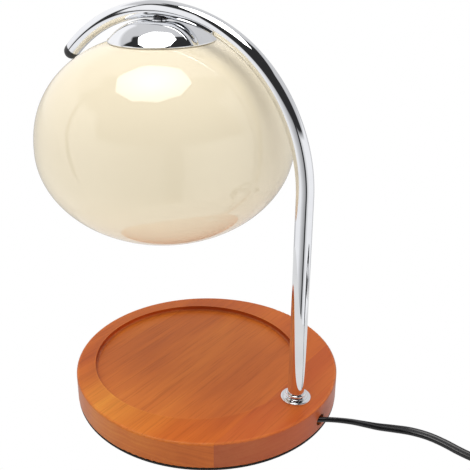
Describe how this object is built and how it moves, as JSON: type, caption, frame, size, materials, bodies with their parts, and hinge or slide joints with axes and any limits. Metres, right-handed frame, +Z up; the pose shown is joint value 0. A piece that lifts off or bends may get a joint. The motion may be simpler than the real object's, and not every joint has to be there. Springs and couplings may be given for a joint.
{
  "type": "candle warmer lamp",
  "caption": "Lamp that warms a jar candle from above: round wooden base with a recess, arched chrome tube, hanging opal glass shade with a reflector bulb, corded dimmer and plug.",
  "frame": {"origin": "centre of the underside of the base, on the table", "axes": "+Z up, +X from the middle of the base towards the stem, so the arch runs towards -X; the lamp without its cord is symmetric about the XZ plane"},
  "size_m": [0.4159, 0.235, 0.2492],
  "materials": {
    "wood": "satin lacquer over edge-glued staves",
    "pad": "matt foam rubber",
    "chrome": "polished plating",
    "steel": "zinc plated",
    "brass": "plain",
    "opal_glass": "glossy cased opal, ivory",
    "silicone": "matt",
    "black_plastic": "moulded black",
    "wheel_plastic": "moulded dark grey",
    "cord": "flexible black insulation",
    "core_sleeve": "insulated cores",
    "lead_sleeve": "woven heat-proof sleeve",
    "nylon": "natural",
    "ceramic": null,
    "reflector": "mirror-coated glass",
    "clear_glass": "clear",
    "pot": "moulded blue",
    "board": "circuit board"
  },
  "bodies": {
    "lamp": {"base_disc": "wood", "base_pad": "pad", "cord_stub": "cord", "cord_stop": "nylon", "core_wires": "core_sleeve", "wire_splices": "nylon", "stem_tube": "chrome", "arch_tube": "chrome", "stem_flange": "chrome", "stem_washer": "steel", "stem_nut": "steel", "tube_end_cap": "black_plastic", "lead_wires": "lead_sleeve", "hanger_nipple": "brass", "hanger_collar": "chrome", "shade_cap": "chrome", "cap_gasket": "silicone", "glass_shade": "opal_glass", "glass_gasket": "silicone", "retaining_washer": "steel", "shade_nut": "steel", "holder_bracket": "steel", "bracket_nut": "steel", "holder_screws": "steel", "lampholder": "ceramic", "holder_contacts": "brass", "cord_lead": "cord", "dimmer_lower_shell": "black_plastic", "dimmer_upper_shell": "black_plastic", "dimmer_pot": "pot", "dimmer_board": "board", "dimmer_screws": "steel", "cord_link": "cord", "cord_coil": "cord", "coil_tie": "black_plastic", "cord_tail": "cord", "plug_body": "black_plastic", "plug_blades": "brass"},
    "bulb": {"bulb_base": "ceramic", "bulb_pins": "steel", "bulb_reflector": "reflector", "bulb_lens": "clear_glass", "bulb_capsule": "clear_glass"},
    "wheel": {"dimmer_wheel": "wheel_plastic"}
  },
  "joints": [
    {"name": "bulb_twist", "type": "hinge", "parent": "lamp", "child": "bulb", "pos_m": [-0.03044, 0, 0.1881], "axis": [0, 0, 1], "range_deg": [0, 20]},
    {"name": "dimmer_turn", "type": "hinge", "parent": "lamp", "child": "wheel", "pos_m": [0.224, 0.031, 0.01], "axis": [0, 0, 1], "range_deg": [0, 270]}
  ]
}
